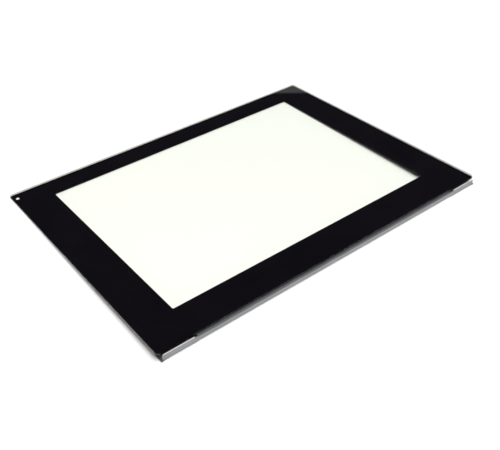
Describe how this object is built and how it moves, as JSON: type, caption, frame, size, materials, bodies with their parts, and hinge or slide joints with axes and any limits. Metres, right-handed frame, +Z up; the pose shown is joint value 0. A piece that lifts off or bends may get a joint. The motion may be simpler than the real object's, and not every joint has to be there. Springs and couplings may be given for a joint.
{
  "type": "oven door glass",
  "caption": "Toughened inner door glass for a built-in oven, with a fired black border and a bent metal strip along one long edge.",
  "frame": {"origin": "middle of the bottom of the whole object's box, on the floor that it lies on", "axes": "+X along the long edges, +Y from the strip's edge towards the back long edge, +Z up"},
  "size_m": [0.55, 0.409, 0.0116],
  "materials": {
    "clear_glass": "clear toughened float glass with a faint green edge",
    "black_print": "opaque black ceramic print, fired on, glossy through the glass",
    "strip_metal": "satin bent sheet steel"
  },
  "bodies": {
    "root": {"glass_pane": "clear_glass", "black_border": "black_print", "edge_strip": "strip_metal"}
  },
  "joints": []
}
